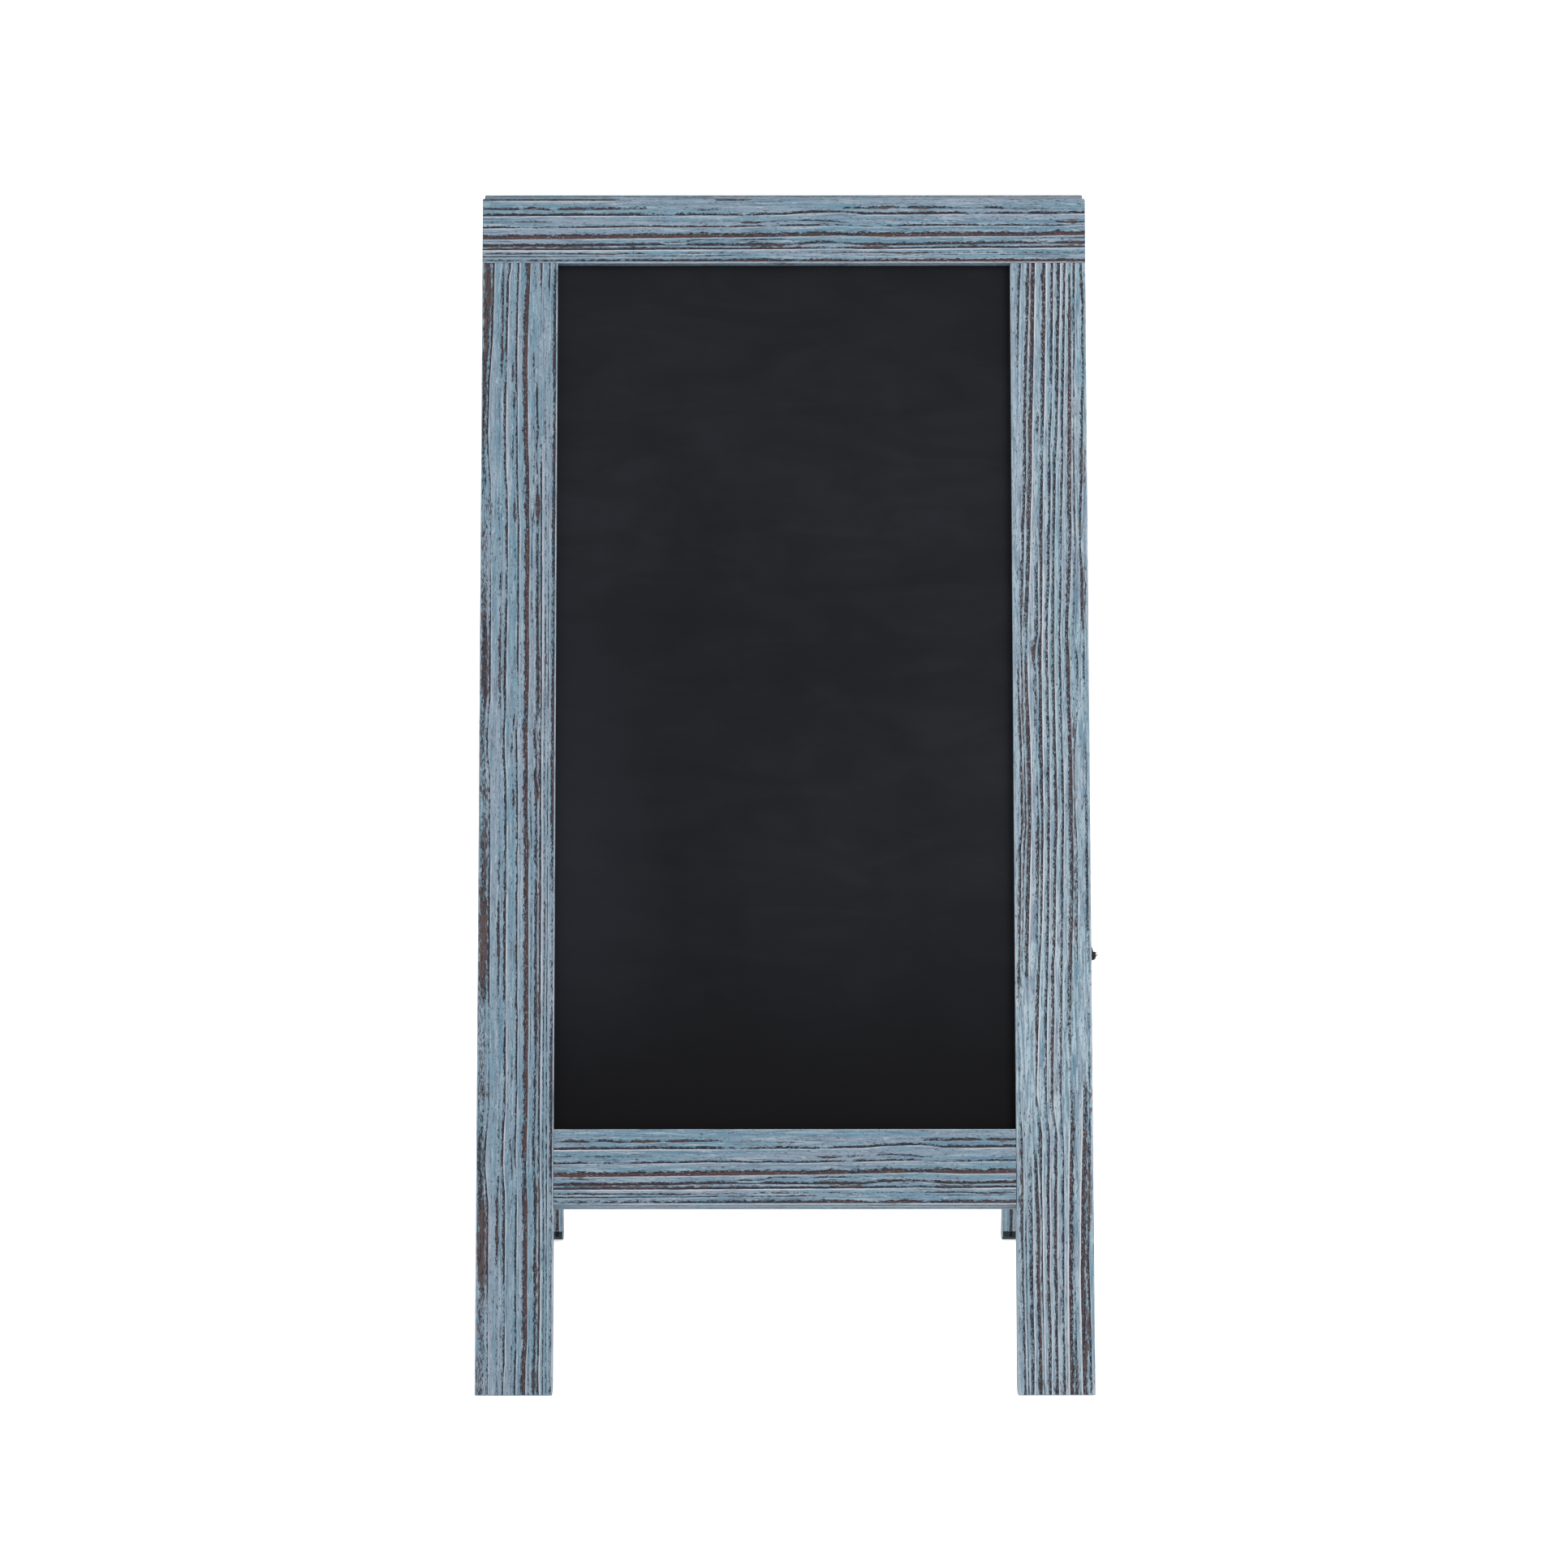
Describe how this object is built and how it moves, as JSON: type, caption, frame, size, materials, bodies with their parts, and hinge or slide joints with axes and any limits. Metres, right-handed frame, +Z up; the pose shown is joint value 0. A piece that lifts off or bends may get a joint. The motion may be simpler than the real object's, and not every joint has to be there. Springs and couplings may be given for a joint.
{
  "type": "folding a-frame chalkboard",
  "caption": "Folding A-frame pavement chalkboard: a front and a rear distressed blue timber frame with recessed writing boards, hinged at the top and held open by a stay cord.",
  "frame": {"origin": "on the floor under the middle of the open sign, halfway between the front and the rear feet", "axes": "+Z up; -Y towards the front writing board, +Y towards the rear one; +X to the right of someone reading the front board, parallel to the hinge pins"},
  "size_m": [0.5121, 0.7254, 0.9595],
  "materials": {
    "distressed_wood": "worn blue-grey paint rubbed back along the grain, pale streaks and dark brown grooves, matt",
    "chalkboard_paint": "charcoal chalkboard paint on a hardboard panel, low sheen, faint wiped chalk haze",
    "dowel_beech": "plain beech dowel, unfinished",
    "hinge_steel": "zinc-plated steel with a dull satin sheen",
    "stay_cord": "black braided polyester cord, frayed at the knots"
  },
  "bodies": {
    "front_frame": {"front_top_rail": "distressed_wood", "front_left_leg": "distressed_wood", "front_right_leg": "distressed_wood", "front_bottom_rail": "distressed_wood", "front_chalkboard": "chalkboard_paint", "front_left_top_dowel_inner": "dowel_beech", "front_left_top_dowel_outer": "dowel_beech", "front_left_rail_dowel_upper": "dowel_beech", "front_left_rail_dowel_lower": "dowel_beech", "front_right_top_dowel_inner": "dowel_beech", "front_right_top_dowel_outer": "dowel_beech", "front_right_rail_dowel_upper": "dowel_beech", "front_right_rail_dowel_lower": "dowel_beech", "left_hinge_front_leaf": "hinge_steel", "left_hinge_front_screw_1": "hinge_steel", "left_hinge_front_screw_2": "hinge_steel", "left_hinge_front_screw_3": "hinge_steel", "left_hinge_pin": "hinge_steel", "right_hinge_front_leaf": "hinge_steel", "right_hinge_front_screw_1": "hinge_steel", "right_hinge_front_screw_2": "hinge_steel", "right_hinge_front_screw_3": "hinge_steel", "right_hinge_pin": "hinge_steel", "front_stay_knot": "stay_cord", "stay_cord": "stay_cord"},
    "rear_frame": {"rear_top_rail": "distressed_wood", "rear_left_leg": "distressed_wood", "rear_right_leg": "distressed_wood", "rear_bottom_rail": "distressed_wood", "rear_chalkboard": "chalkboard_paint", "rear_left_top_dowel_inner": "dowel_beech", "rear_left_top_dowel_outer": "dowel_beech", "rear_left_rail_dowel_upper": "dowel_beech", "rear_left_rail_dowel_lower": "dowel_beech", "rear_right_top_dowel_inner": "dowel_beech", "rear_right_top_dowel_outer": "dowel_beech", "rear_right_rail_dowel_upper": "dowel_beech", "rear_right_rail_dowel_lower": "dowel_beech", "left_hinge_rear_leaf": "hinge_steel", "left_hinge_rear_screw_1": "hinge_steel", "left_hinge_rear_screw_2": "hinge_steel", "left_hinge_rear_screw_3": "hinge_steel", "right_hinge_rear_leaf": "hinge_steel", "right_hinge_rear_screw_1": "hinge_steel", "right_hinge_rear_screw_2": "hinge_steel", "right_hinge_rear_screw_3": "hinge_steel", "rear_stay_knot": "stay_cord"}
  },
  "joints": [
    {"name": "fold", "type": "hinge", "parent": "front_frame", "child": "rear_frame", "pos_m": [0, 0, 0.94943], "axis": [-1, 0, 0], "range_deg": [0, 38.25], "deforming": ["stay_cord"]}
  ]
}
